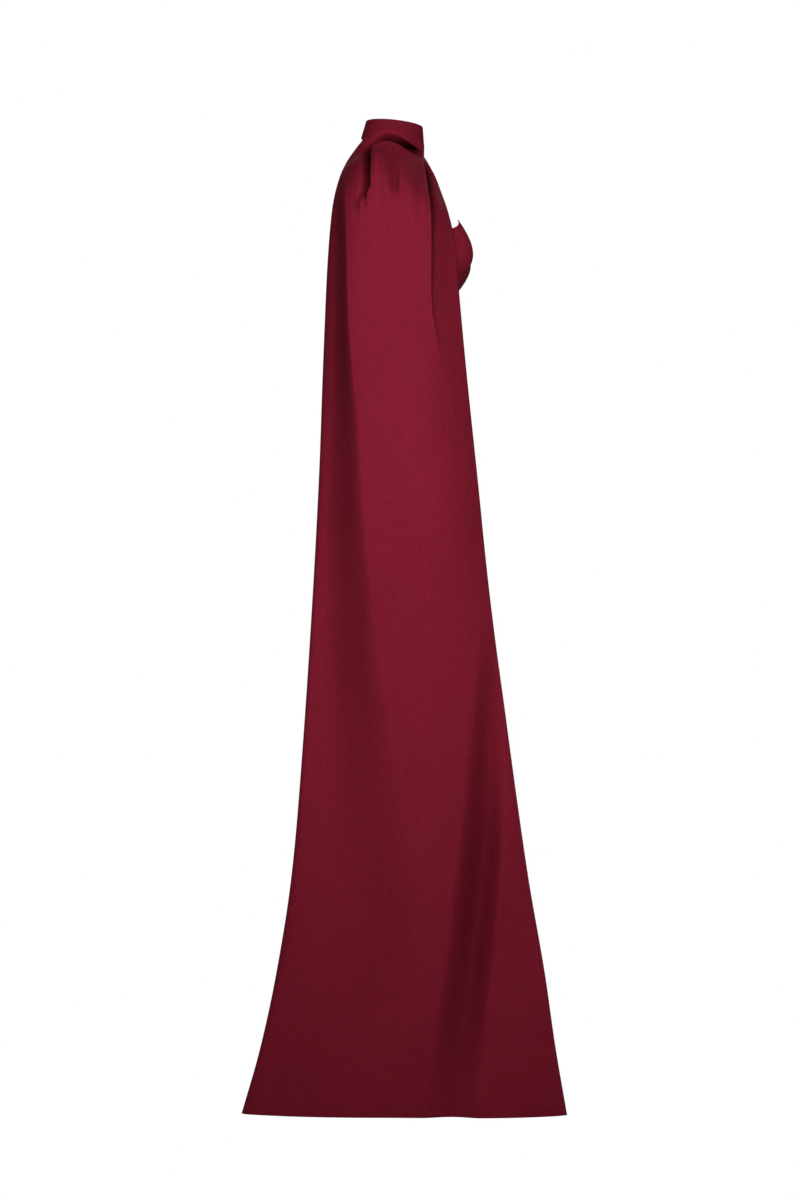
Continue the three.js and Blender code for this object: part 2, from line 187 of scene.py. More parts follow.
# Behind the arm the cape falls in to a lower level, which runs on to its outline: the drop, where that level
# ends and where the arm's ridge is (forward), how deep the step is, and how far the ridge hangs over it.
STEP_COLUMNS = ("drop", "level_to", "ridge", "depth", "slide")
STEP = [
    (60, -90, -74, 0, 0),
    (105, -92, -73, 22, 3),
    (143, -95, -72, 40, 5),
    (194, -95, -70, 50, 6),
    (254, -96, -69, 54, 6),
    (333, -97, -66, 56, 5),
    (404, -98, -61, 56, 4),
    (484, -101, -52, 57, 2),
    (604, -104, -44, 58, 0),
    (764, -106, -28, 58, 0),
    (923, -110, -8, 54, 0),
    (1083, -114, 26, 46, 0),
    (1242, -118, 50, 33, 0),
    (1402, -125, 68, 16, 0),
    (1530, -130, 75, 4, 0),
    (1600, -135, 80, 0, 0),
]

# In front of the arm it falls in as well: the drop, where the arm's ridge is and where the lower level begins
# (forward), and how deep the step is.
FRONT_STEP_COLUMNS = ("drop", "ridge", "level_from", "depth")
FRONT_STEP = [
    (30, 50, 62, 0),
    (60, 54, 76, 16),
    (100, 58, 84, 25),
    (150, 62, 92, 29),
    (200, 64, 98, 29),
    (280, 63.5, 104, 25),
    (330, 68, 106, 17),
    (370, 75, 108, 8),
    (415, 90, 114, 0),
    (500, 95, 120, 0),
]
FRONT_STEP_POWER = 2.2

# The gathers of the shoulder, given as the folds are. A negative depth puffs the cloth out.
GATHERS = {
    "shoulder puff": [
        (40, -24, 0, 16, 16, 0),
        (58, -25, -7, 15, 16, 0),
        (76, -25, -8, 14, 16, 0),
        (102, -25, -4, 14, 16, 0),
        (128, -25, 0, 14, 16, 0),
    ],
    "shoulder gather": [
        (38, -4, 0, 15, 12, 0),
        (56, 1, 5, 17, 12, 0),
        (80, 5, 8, 17, 11, 0),
        (102, 5, 9, 14, 10, 0),
        (118, 5, 6, 12, 10, 0),
        (130, 7, 0, 11, 10, 0),
    ],
    "front gather": [
        (50, 38, 0, 10, 10, 0),
        (72, 41, 3, 11, 10, 0),
        (120, 43, 3, 12, 10, 0),
        (190, 44, 0, 12, 10, 0),
    ],
}

# The two shoulder darts: stitched lines from under the roll down to the upper arm, as the drop, the forward
# place and the depth.
DART_COLUMNS = ("drop", "forward", "depth")
DARTS = [
    [(40, -17.5, 0), (52, -17.2, 1.1), (110, -15.5, 1.0), (146, -14.6, 0)],
    [(44, -14.2, 0), (56, -14.0, 0.8), (96, -12.8, 0.7), (128, -12.2, 0)],
]
DART_WIDTH = 1.3

# The roll of cloth that stands up under the neckband, and the crease below it, whose leg turns down behind
# the shoulder. before and past: how far the crease's slopes reach from its deepest line, towards the roll or
# the back, and away from them.
ROLL = {
    "length": 21, "more": 0.5, "more_from": 5, "more_run": 35, "height": 13, "middle": 1.05,
    "back_from": -50, "back_run": 34, "front_to": 56, "front_run": 27,
}
# shade_power: how fast the painted shade in the crease grows from its edges towards its deepest line.
CREASE = {
    "top_depth": 19, "leg_depth": 21, "top_before": 6.5, "top_past": 11, "leg_before": 13, "leg_past": 4.8,
    "hollow_forward": 26, "hollow_reach": 18, "hollow_depth": 7,
    "leg_forward": -38.5, "leg_end": 234, "leg_fade": 50, "leg_hook": 22,
    "corner": 30, "turn_from": -6, "turn_run": 30, "turn_until": 96, "turn_over": 60,
    "overhang": 0.7, "shade_power": 2.2,
}

# Where the cape's mesh lies close: across it, from 0 at the front edge to 1 at the free back edge, the strips
# of the front pleat, the darts and the rear fold at each length down.
STRIP_COLUMNS = ("down", "pleat_from", "pleat_to", "dart_from", "dart_to", "rear_from", "rear_to")
STRIPS = [
    (0, 0.035, 0.13, 0.34, 0.38, 0.64, 0.76),
    (100, 0.04, 0.135, 0.337, 0.373, 0.65, 0.77),
    (190, 0.045, 0.135, 0.332, 0.368, 0.61, 0.73),
    (390, 0.045, 0.135, 0.31, 0.35, 0.53, 0.65),
    (620, 0.037, 0.125, 0.28, 0.33, 0.47, 0.61),
    (820, 0.045, 0.135, 0.26, 0.31, 0.42, 0.57),
    (1058, 0.06, 0.155, 0.25, 0.29, 0.36, 0.51),
    (1250, 0.075, 0.175, 0.245, 0.28, 0.33, 0.47),
    (1628, 0.14, 0.2, 0.24, 0.265, 0.29, 0.42),
]
STRIP_CELLS = (9, 40, 30, 18, 58, 42, 26)
CAPE_ROW_STOPS = ((0, 62), (62, 48), (200, 92), (CAPE_END, 0))

# How far apart the places are from which the cape's directions are taken.
ACROSS_STEP = 0.0025
DOWN_STEP = 2

# The cells of the other meshes, across and down, how much closer they lie at a panel's edges, and the steps
# round the rim of a cloth shell.
BAND_CELLS = (160, 22)
BODICE_CELLS = (64, 90)
SKIRT_CELLS = {"skirt_front": (150, 150), "skirt_back_right": (76, 150), "skirt_back_left": (76, 150)}
EDGE_CROWDING = 0.75
RIM_STEPS = 3

# The gap between two panels of the dress, and up to where a sine or cosine counts as 0.
SEAM_GAP = 0.4
AT_AXIS = 0.01

# Soft unevenness of hanging cloth below the calm shoulder: waves a metre in each direction, height and turn.
CALM = {"until": 40, "run": 160}
SOFT_WAVES = [
    ((9, 4, 3), 0.5, 0.3),
    ((-5, 13, 6), 0.4, 1.9),
    ((17, -8, 9), 0.25, 4.1),
    ((6, 21, -12), 0.2, 2.6),
]

# The seams of the dress, in metres: how far in from its edge a panel dips, by which share of its thickness, and
# the height and length of the puckers along it and the length of their drift.
SEAM = {
    "reach": 0.006, "dip": 0.35, "pucker_height": 0.00018, "pucker_length": 0.0026, "drift_length": 0.031,
}

# The finishes of the crepe: how much of the dye's colour it keeps, below 1 as painted shade, how much its shade
# varies, its roughness, specular level and bump strength. The interfaced neckband is flatter, and its colour
# is darkened as painted shade.
FINISHES = {
    "crimson crepe": {"share_after_shade": 1.0, "shade": 0.6, "roughness": 0.76, "gleam": 0.16, "bump": 0.6},
    "interfaced crepe": {"share_after_shade": 0.82, "shade": 0.5, "roughness": 0.8, "gleam": 0.14, "bump": 0.45},
}
BUMP_DISTANCE = 0.0004

# The lean of the grain's streaks, how much wider the wide patches are, and how much rougher the cloth is on the
# lighter patches. The mask of painted shade in the creases and folds, and of painted highlight on the ridges,
# is an attribute of the cape's points.
STREAK_LEAN = math.radians(-24)
WIDE_PATCHES = 14.0
PATCH_ROUGHNESS = -0.25
PAINTED_SHADE_ATTRIBUTE = "crease"

# Stage: places in metres.
CAMERA_PLACE = (-4.5, -0.0132, -0.764)
CAMERA_LENS = 81.8
SOFTBOXES = {
    "main": {"place": (-2.28, 0.05, 0.0), "aim": (-0.1, 0, -0.44), "size": 1.5, "spread": 70},
    "front": {"place": (-1.75, -1.5, 0.4), "aim": (-0.1, 0, -0.4), "size": 1.2, "spread": 180},
    "rear": {"place": (-1.15, 2.0, 0.1), "aim": (-0.1, 0, -0.7), "size": 1.0, "spread": 180},
    "top": {"place": (-0.9, 0.1, 1.5), "aim": (-0.1, 0, -0.1), "size": 0.8, "spread": 180},
    "far": {"place": (2.6, -0.2, 0.3), "aim": (0, 0, -0.7), "size": 1.6, "spread": 180},
}
FLOOR = {"sides": 96, "grey": 0.8, "roughness": 0.9, "below": 0.0005}


def table(columns, rows):
    """A function that gives every column of a table at any values of its first, on smooth curves."""
    rows = np.array(rows, float)
    xs = rows[:, 0]
    slopes = np.empty_like(rows)
    slopes[1:-1] = (rows[2:] - rows[:-2]) / (xs[2:] - xs[:-2])[:, None]
    slopes[0] = (rows[1] - rows[0]) / (xs[1] - xs[0])
    slopes[-1] = (rows[-1] - rows[-2]) / (xs[-1] - xs[-2])

    def at(value):
        x = np.clip(value, xs[0], xs[-1])
        i = np.clip(np.searchsorted(xs, x) - 1, 0, len(xs) - 2)
        span = xs[i + 1] - xs[i]
        t = (x - xs[i]) / span
        found = {}
        for k, column in enumerate(columns):
            low = rows[i, k]
            rise = rows[i + 1, k] - low
            start = slopes[i, k] * span - rise
            end = rise - slopes[i + 1, k] * span
            found[column] = low + rise * t + t * (1 - t) * (start * (1 - t) + end * t)
        return found

    return at


figure_at = table(FIGURE_COLUMNS, FIGURE)
cape_at = table(CAPE_COLUMNS, CAPE_ROWS)
front_step_at = table(FRONT_STEP_COLUMNS, FRONT_STEP)
step_at = table(STEP_COLUMNS, STEP)
hanging_at = {name: table(FOLD_COLUMNS, rows) for name, rows in HANGING_FOLDS.items()}
gathers_at = [table(FOLD_COLUMNS, rows) for rows in GATHERS.values()]
darts_at = [table(DART_COLUMNS, rows) for rows in DARTS]
strips_at = table(STRIP_COLUMNS, STRIPS)


def mix(a, b, t):
    """The value that lies the share t of the way from a to b."""
    return a + (b - a) * t


def ease(t):
    """A soft step, from 0 where t is 0 or less to 1 where it is 1 or more."""
    t = np.clip(t, 0, 1)
    return t * t * (3 - 2 * t)


def bell(t):
    """A hump, 1 where t is 0 and 0 from 1 on to either side."""
    return np.where(np.abs(t) < 1, (1 - np.minimum(t * t, 1)) ** 2, 0)


def gauss(x, spread):
    """A hump that fades out over its spread without an end."""
    return np.exp(-((x / spread) ** 2) / 2)


def place(forward, side, drop):
    """Points in metres from places in millimetres."""
    return np.stack([-side, -forward, -drop], axis=-1) * MM


def unit(vectors):
    return vectors / np.linalg.norm(vectors, axis=-1, keepdims=True)


def dress(angle, drop):
    """Points of the dress. The angle is 0 at the centre front and grows towards the wearer's right."""
    at = figure_at(drop)
    power = 2 / at["square"]
    along, across = np.cos(angle), np.sin(angle)
    start = ease((drop - FLUTES_START) / (DRESS_HEM - FLUTES_START))
    flute = sum(depth * np.cos(count * angle + turn) for count, depth, turn in FLUTES)
    swell = 1 + start * flute / at["side"]
    side = np.sign(across) * at["side"] * np.abs(across) ** power * swell
    forward = np.where(along > 0, at["front"], -at["back"]) * np.abs(along) ** power * swell
    from_point = np.abs(side) - CUP["side"]
    from_level = drop - CUP["drop"]
    cup = (
        CUP["reach"]
        * gauss(from_point, np.where(from_point < 0, CUP["inner"], CUP["outer"]))
        * gauss(from_level, np.where(from_level < 0, CUP["above"], CUP["below"]))
        * ease(along / CUP["end"])
    )
    return place(forward + np.where(along > 0, cup, 0), side, drop)


def top_edge(angle):
    """How low the top edge of the bodice is at an angle."""
    turn = np.abs(angle)
    inside = (PRINCESS["top"] - turn) / PRINCESS["top"]
    centre = mix(EDGE["point"], EDGE["centre"], 1 - np.exp(-inside * EDGE["run"] / EDGE["inner_fall"]))
    outside = (turn - PRINCESS["top"]) / (SIDE_SEAM - PRINCESS["top"])
    side = mix(EDGE["point"], EDGE["under_arm"], 1 - np.exp(-outside * EDGE["run"] / EDGE["outer_fall"]))
    back = mix(side, EDGE["back"], ease((turn - SIDE_SEAM) / (BACK_SEAM - SIDE_SEAM)))
    return np.where(turn <= PRINCESS["top"], centre, back)


def princess(down):
    """The angle of the right princess seam. down is 0 at the top edge and 1 at the waist."""
    return mix(PRINCESS["top"], PRINCESS["waist"], down)


def band(angle, down):
    """Points of the neckband. The angle is 0 at the throat. down is 0 at the upper rim and 1 at the lower."""
    turn = (1 + np.cos(angle)) / 2

    def between(nape, throat):
        upper, lower = (mix(rim[nape], rim[throat], turn) for rim in (BAND_TOP, BAND_BOTTOM))
        return mix(upper, lower, down)

    side = mix(BAND_TOP["side"], BAND_BOTTOM["side"], down) * np.sin(angle)
    return place(between("nape", "throat"), side, between("nape_drop", "throat_drop"))


def cape_seam(across):
    """Places along the cape's neck seam, under the neckband."""
    share = across / (1 - CAPE_WRAP)
    ahead = 1 - np.sin(np.minimum(share, 1) * SIDE_SEAM)
    cosine = mix(math.cos(CAPE_SEAM["back"]), math.cos(CAPE_SEAM["front"]), ahead)
    past = mix(CAPE_SEAM["back"], CAPE_SEAM["end"], (across - 1 + CAPE_WRAP) / CAPE_WRAP)
    turn = np.where(share > 1, past, np.arccos(np.clip(cosine, -1, 1)))
    point = -band(turn, 1) / MM
    gap = CAPE_SEAM["gap"]
    return point[..., 1] + gap * np.cos(turn), point[..., 0] + gap * np.sin(turn), point[..., 2] + gap


def cape_section(across, row):
    """Places of one cape section, without its folds."""
    behind = (across - 1 + CAPE_WRAP) / CAPE_WRAP
    t = np.clip(1 - across / (1 - CAPE_WRAP), 0, 1)
    forward = mix(row["back"], row["front"], 1 - np.cos(t * SIDE_SEAM))
    crown = mix(row["back"], row["front"], 1 - math.cos(CAPE_TURN * SIDE_SEAM))
    rear = np.clip((CAPE_TURN - t) / CAPE_TURN, 0, 1)
    front = np.clip((t - CAPE_TURN) / (1 - CAPE_TURN), 0, 1)
    step = np.maximum(step_at(row["back_drop"])["depth"], 0)
    outer = row["rear"] + step + CAPE_CORNER
    ahead = row["ahead"] + np.maximum(front_step_at(row["front_drop"])["depth"], 0)
    from_crown = np.clip((crown - forward) / (crown - row["back"]), 0, 1)
    rounded = CAPE_CORNER * np.maximum(1 - t / CAPE_CORNER_RUN, 0) ** 2
    side = np.where(
        t < CAPE_TURN,
        mix(row["near"], outer, from_crown ** row["rear_square"]) - rounded,
        mix(row["near"], ahead, front ** row["front_square"]),
    )
    drop = np.where(
        t < CAPE_TURN,
        mix(row["near_drop"], row["back_drop"], ease(rear)),
        mix(row["near_drop"], row["front_drop"], ease(front)),
    )
    wrapped = behind > 0
    forward = np.where(wrapped, row["back"] + CAPE_INSET * behind**2, forward)
    side = np.where(wrapped, mix(row["rear"] + step, row["edge"] + step, behind), side)
    return forward, side, np.where(wrapped, row["back_drop"], drop)


def cape_form(across, down):
    """Places of the cape before its folds. across is 0 at the front edge and 1 at the free back edge."""
    share = np.clip(down / CAPE_SEAM["blend"], 0, 1)
    section = cape_section(across, cape_at(down))
    return tuple(mix(a, b, share) for a, b in zip(cape_seam(across), section))


def past_crease(forward, down, length):
    """How far each place lies past the deepest line of the crease, and the share of the crease's top in it,
    from 0 at the leg to 1."""
    hook = CREASE["leg_hook"] * ease((down - CREASE["leg_end"] + CREASE["leg_fade"]) / CREASE["leg_fade"])
    past_leg = forward - CREASE["leg_forward"] + hook
    past_top = down - length
    corner = CREASE["corner"]
    rounded = corner - np.hypot(corner - past_leg, corner - past_top)
    past = np.where((past_leg < corner) & (past_top < corner), rounded, np.minimum(past_leg, past_top))
    turned = ease((past_leg - CREASE["turn_from"]) / CREASE["turn_run"])
    return past, turned * ease((CREASE["turn_until"] - down) / CREASE["turn_over"])


def roll_lift(forward, down, height, deeper):
    """How far the roll and its crease lift the cape, how far the crease slides up and ahead under them, and
    the painted shade of each place from how deep in the crease it is, up to 1."""
    length = ROLL["length"] + ROLL["more"] * ease((forward - ROLL["more_from"]) / ROLL["more_run"])
    ends = ease((ROLL["front_to"] - forward) / ROLL["front_run"])
    rise = ease((forward - ROLL["back_from"]) / ROLL["back_run"])
    bulge = height * bell(2 * down / length - ROLL["middle"]) * ends * rise
    past, top = past_crease(forward, down, length)
    hollow = CREASE["hollow_depth"] * bell((forward - CREASE["hollow_forward"]) / CREASE["hollow_reach"])
    depth = mix(CREASE["leg_depth"], CREASE["top_depth"] + hollow, top) * deeper
    before = mix(CREASE["leg_before"], CREASE["top_before"], top)
    after = mix(CREASE["leg_past"], CREASE["top_past"], top)
    fade = ends * ease((CREASE["leg_end"] - down) / CREASE["leg_fade"])
    share = bell(past / np.where(past < 0, before, after)) * fade
    pressed = depth * share
    slide = pressed * CREASE["overhang"]
    inside = (1 - (1 - share) ** CREASE["shade_power"]) * deeper
    return bulge - pressed, slide * top, slide * (1 - top), inside


def pressed_fold(at, forward, sharp=False):
    """How deep one fold is at each place, and how far its deepest line slides forward."""
    off = forward - at["forward"]
    reach = np.where(off < 0, at["behind"], at["ahead"])
    share = bell(off / reach)
    if sharp:
        near = np.minimum(np.hypot(off / reach, FOLD_ROUND) - FOLD_ROUND, 1)
        share = np.where(off < 0, share, (1 - near) ** FOLD_POWER)
    return at["depth"] * share, at["slide"] * share


def ridge_line(at, forward, full_depth):
    """How near each place is to the ridge of a step, up to 1, where the step has its full depth."""
    return np.clip(at["depth"] / full_depth, 0, 1) * gauss(forward - at["ridge"], RIDGE_LIGHT["width"])


def hanging_lift(forward, drop):
    """How far the hanging folds press the cape in to the side, how far that slides it forward, and the painted
    shade of each place from how deep in a fold it is, up to 1, or below 0 for painted highlight on the
    pressed ridges."""
    at = step_at(drop)
    share = bell(np.maximum(forward - at["level_to"], 0) / (at["ridge"] - at["level_to"]))
    depth = np.maximum(at["depth"], 0) * share
    slide = at["slide"] * bell((forward - at["level_to"]) / (at["ridge"] - at["level_to"]))
    front = front_step_at(drop)
    past = np.clip((forward - front["ridge"]) / (front["level_from"] - front["ridge"]), 0, 1)
    depth += np.maximum(front["depth"], 0) * (1 - (1 - past) ** FRONT_STEP_POWER)
    inside = np.zeros_like(depth)
    for name, fold in hanging_at.items():
        deep, ahead = pressed_fold(fold(drop), forward, FOLD_SHARP[name])
        deep = np.maximum(deep, 0)
        depth += deep
        slide += ahead
        inside = np.maximum(inside, FOLD_SHADE[name] * deep)
    # Painted highlight: along the ridges the mask goes below 0, which lightens the colour.
    fade = ease((RIDGE_LIGHT["rear_end"] - drop) / RIDGE_LIGHT["rear_fade"])
    rear_light = RIDGE_LIGHT["rear"] * fade * ridge_line(at, forward, RIDGE_LIGHT["rear_depth"])
    front_light = RIDGE_LIGHT["front"] * ridge_line(front, forward, RIDGE_LIGHT["front_depth"])
    return depth, slide, inside - (rear_light + front_light) * (inside < RIDGE_LIGHT["most_shade"])


def gather_lift(forward, drop):
    """How far the shoulder's gathers and darts press the cape in, and the painted shade deep in a gather."""
    depth = np.zeros_like(forward)
    for gather in gathers_at:
        depth += pressed_fold(gather(drop), forward)[0]
    inside = np.maximum(depth, 0) * GATHER_SHADE
    for dart in darts_at:
        at = dart(drop)
        depth += np.maximum(at["depth"], 0) * bell((forward - at["forward"]) / DART_WIDTH)
    return depth, inside


def deeper_painted_shade(inside, other):
    """The painted shade of each place, from two painted shades of which the second may be none."""
    return np.where(other > IN_A_FOLD, np.maximum(inside, other), inside)


def soft_waves(points, amount):
    """A slow unevenness over the cloth, in metres, the same on each run."""
    height = sum(size * np.sin(points @ np.array(wave) + turn) for wave, size, turn in SOFT_WAVES)
    return height * amount * MM


def cape(across, down, settings):
    """Points of the draped cape, and the painted shade of each, up to 1, or below 0 for painted highlight."""
    def near(across, down):
        return place(*cape_form(np.clip(across, 0, 1), np.clip(down, 0, CAPE_END)))

    forward, side, drop = cape_form(across, down)
    to_front = unit(near(across - ACROSS_STEP, down) - near(across + ACROSS_STEP, down))
    to_hem = unit(near(across, down + DOWN_STEP) - near(across, down - DOWN_STEP))
    # Nothing is lifted forward or back, so that the outline seen from the side stays.
    lifted = unit(np.cross(-to_front, to_hem))
    lifted[..., 1] = 0
    from_seam = ease((down - CAPE_SEAM["flat"]) / CAPE_SEAM["rise"])
    depth, fold_slide, painted_fold_shade = hanging_lift(forward, drop)
    height = settings.roll_height / MM
    roll, slide_up, slide_ahead, painted_crease_shade = roll_lift(forward, down, height, settings.crease)
    gathered, painted_gather_shade = gather_lift(forward, drop)
    lift = (roll - gathered * settings.folds) * from_seam
    points = place(forward, side - depth * settings.folds * from_seam, drop)
    points = points + lifted * (lift * MM)[..., None]
    points = points + to_front * ((fold_slide * settings.folds + slide_ahead) * from_seam * MM)[..., None]
    points = points - to_hem * (slide_up * from_seam * MM)[..., None]
    calm = ease((down - CALM["until"]) / CALM["run"])
    points = points + lifted * (soft_waves(points, settings.waves) * calm)[..., None]
    # The painted shade of the folds, gathers and crease, by which the material darkens the colour.
    painted_fold_shade = deeper_painted_shade(painted_fold_shade, painted_gather_shade) * settings.folds
    return points, deeper_painted_shade(painted_fold_shade, painted_crease_shade) * from_seam


def outward(points):
    """The directions out of a grid of points whose columns run from front to back on the right side."""
    return unit(np.cross(np.gradient(points, axis=1), np.gradient(points, axis=0)))


def spread(stops):
    """Values from stop to stop, each stop with the number of cells up to the next."""
    parts = [np.linspace(a, b, cells, endpoint=False) for (a, cells), (b, _) in zip(stops, stops[1:])]
    return np.append(np.concatenate(parts), stops[-1][0])


def cloth_shell(name, points, thickness, material, inside=None):
    """A cloth shell with rounded edges, from a grid of outer points in metres. inside is the painted shade of
    each point, kept as an attribute of the mesh."""
    rows, columns = points.shape[:2]
    normals = outward(points)
    inner = points - normals * thickness
    index = np.arange(rows * columns).reshape(rows, columns)
    a, b, c, d = index[:-1, :-1], index[:-1, 1:], index[1:, 1:], index[1:, :-1]
    outer_faces = np.stack([a, b, c, d], -1).reshape(-1, 4)
    inner_faces = np.stack([a, d, c, b], -1).reshape(-1, 4) + rows * columns

    loop = np.concatenate([index[0, :-1], index[:-1, -1], index[-1, :0:-1], index[:0:-1, 0]])
    beside = np.concatenate([index[1, :-1], index[:-1, -2], index[-2, :0:-1], index[:0:-1, 1]])
    flat_points, flat_normals, flat_inner = (x.reshape(-1, 3) for x in (points, normals, inner))
    away = flat_points[loop] - flat_points[beside]
    away -= flat_normals[loop] * np.sum(away * flat_normals[loop], -1, keepdims=True)
    away = unit(away)
    middle = (flat_points[loop] + flat_inner[loop]) / 2
    half = thickness / 2
    rings = [loop]
    extra = []
    for step in range(1, RIM_STEPS):
        turn = math.pi * step / RIM_STEPS
        ring = middle + flat_normals[loop] * half * math.cos(turn) + away * half * math.sin(turn)
        rings.append(2 * rows * columns + len(loop) * (step - 1) + np.arange(len(loop)))
        extra.append(ring)
    rings.append(loop + rows * columns)
    rim_faces = [
        np.stack([np.roll(top, -1), top, low, np.roll(low, -1)], -1) for top, low in zip(rings, rings[1:])
    ]

    vertices = np.concatenate([flat_points, flat_inner, *extra])
    faces = np.concatenate([outer_faces, inner_faces, *rim_faces])
    mesh = bpy.data.meshes.new(name)
    mesh.from_pydata(vertices.tolist(), [], faces.tolist())
    mesh.polygons.foreach_set("use_smooth", np.ones(len(faces), bool))
    mesh.materials.append(material)
    lay_flat(mesh, points, loop)
    # The painted shade of each point, for the material.
    if inside is not None:
        outer = inside.ravel()
        each = np.concatenate([outer, outer, *[outer[loop]] * (RIM_STEPS - 1)])
        mesh.attributes.new(PAINTED_SHADE_ATTRIBUTE, "FLOAT", "POINT").data.foreach_set("value", each.astype(np.float32))
    mesh.validate()
    mesh.update()
    piece = bpy.data.objects.new(name, mesh)
    bpy.context.scene.collection.objects.link(piece)
    return piece


def lay_flat(mesh, points, loop):
    """A UV map named cloth, in metres along the panel: across its width and down its length."""
    across = np.linalg.norm(np.diff(points, axis=1), axis=-1).mean(0)
    down = np.linalg.norm(np.diff(points, axis=0), axis=-1).mean(1)
    u = np.concatenate([[0], np.cumsum(across)])
    v = -np.concatenate([[0], np.cumsum(down)])
    grid = np.stack(np.broadcast_arrays(u[None, :], v[:, None]), -1).reshape(-1, 2)
    each = np.concatenate([grid, grid, *[grid[loop]] * (RIM_STEPS - 1)])
    corners = np.empty(len(mesh.loops), int)
    mesh.loops.foreach_get("vertex_index", corners)
    mesh.uv_layers.new(name="cloth").data.foreach_set("uv", each[corners].ravel())


def finish_piece(piece, node):
    """Hides a cloth shell's solid and ties the shell to the root body."""
    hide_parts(node)
    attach(piece, "root")


class GownCloth(bpy.types.PropertyGroup):
    """The crepe that the whole gown is cut from."""

    colour: bpy.props.FloatVectorProperty(
        name="Crepe colour", description="Colour of the crepe's dull face", subtype="COLOR", size=3,
        min=0, max=1, default=(0.185, 0.0098, 0.0235),
    )
    gleam_colour: bpy.props.FloatVectorProperty(
        name="Gleam colour", description="Colour of the soft gleam of the yarn", subtype="COLOR", size=3,
        min=0, max=1, default=(1.0, 0.2, 0.28),
    )
    thickness: bpy.props.FloatProperty(
        name="Cloth thickness", description="Thickness of the crepe with its facing", default=0.0014,
        min=0.0005, max=0.0018, unit="LENGTH",
    )
    band_thickness: bpy.props.FloatProperty(
        name="Neckband thickness", description="Thickness of the interfaced neckband", default=0.0024,
        min=0.001, max=0.0024, unit="LENGTH",
    )
    grain: bpy.props.FloatProperty(
        name="Grain size", description="Size of the crepe's pebbled grain", default=0.0011, min=0.0003,
        max=0.005, unit="LENGTH",
    )
    mottle: bpy.props.FloatProperty(
        name="Mottling size", description="Size of the soft patches in the cloth", default=0.006, min=0.001,
        max=0.05, unit="LENGTH",
    )


class GownCape(bpy.types.PropertyGroup):
    """The drape of the cape."""

    roll_height: bpy.props.FloatProperty(
        name="Roll height", description="How far the roll under the neckband stands up", default=0.013,
        min=0.0, max=0.018, unit="LENGTH",
    )
    crease: bpy.props.FloatProperty(
        name="Shoulder crease", description="Depth of the crease below the roll, 1 as worn", default=1.0,
        min=0.0, max=1.3,
    )
    folds: bpy.props.FloatProperty(
        name="Folds", description="Depth of the hanging folds, 1 as worn", default=1.0, min=0.0, max=1.2,
    )
    waves: bpy.props.FloatProperty(
        name="Soft waves", description="Unevenness of the hanging cloth, 1 as worn", default=1.0, min=0.0,
        max=3.0,
    )


class GownStage(bpy.types.PropertyGroup):
    """The floor, the lights and the camera."""

    floor_size: bpy.props.FloatProperty(
        name="Floor radius", description="Radius of the pale floor", default=14.0, min=2.0, unit="LENGTH",
    )
    main_power: bpy.props.FloatProperty(
        name="Main light", description="Power of the gridded softbox beside the wearer's right arm",
        subtype="POWER", default=9.5, min=0.0,
    )
    front_power: bpy.props.FloatProperty(
        name="Front light", description="Power of the softbox in front of the right shoulder",
        subtype="POWER", default=12.5, min=0.0,
    )
    rear_power: bpy.props.FloatProperty(
        name="Rear light", description="Power of the softbox behind the right shoulder", subtype="POWER",
        default=1.5, min=0.0,
    )
    top_power: bpy.props.FloatProperty(
        name="Top light", description="Power of the softbox over the right shoulder", subtype="POWER",
        default=3.0, min=0.0,
    )
    far_power: bpy.props.FloatProperty(
        name="Far light", description="Power of the softbox on the wearer's left", subtype="POWER",
        default=24.0, min=0.0,
    )
    room: bpy.props.FloatProperty(
        name="Room light", description="Strength of the even light from the room", default=0.04, min=0.0,
        max=1.0,
    )


def new_group(name, inputs, outputs):
    """A shader node group with named inputs and outputs, and its input and output nodes."""
    group = bpy.data.node_groups.new(name, "ShaderNodeTree")
    for label, kind, default in inputs:
        group.interface.new_socket(name=label, in_out="INPUT", socket_type=kind).default_value = default
    for label, kind in outputs:
        group.interface.new_socket(name=label, in_out="OUTPUT", socket_type=kind)
    return group, group.nodes.new("NodeGroupInput"), group.nodes.new("NodeGroupOutput")


def math_node(group, operation, a, b=None, clamp=False):
    """A Math node whose inputs are sockets or numbers."""
    node = group.nodes.new("ShaderNodeMath")
    node.operation = operation
    node.use_clamp = clamp
    for socket, value in zip(node.inputs, (a, b)):
        if isinstance(value, bpy.types.NodeSocket):
            group.links.new(value, socket)
        elif value is not None:
            socket.default_value = value
    return node.outputs[0]


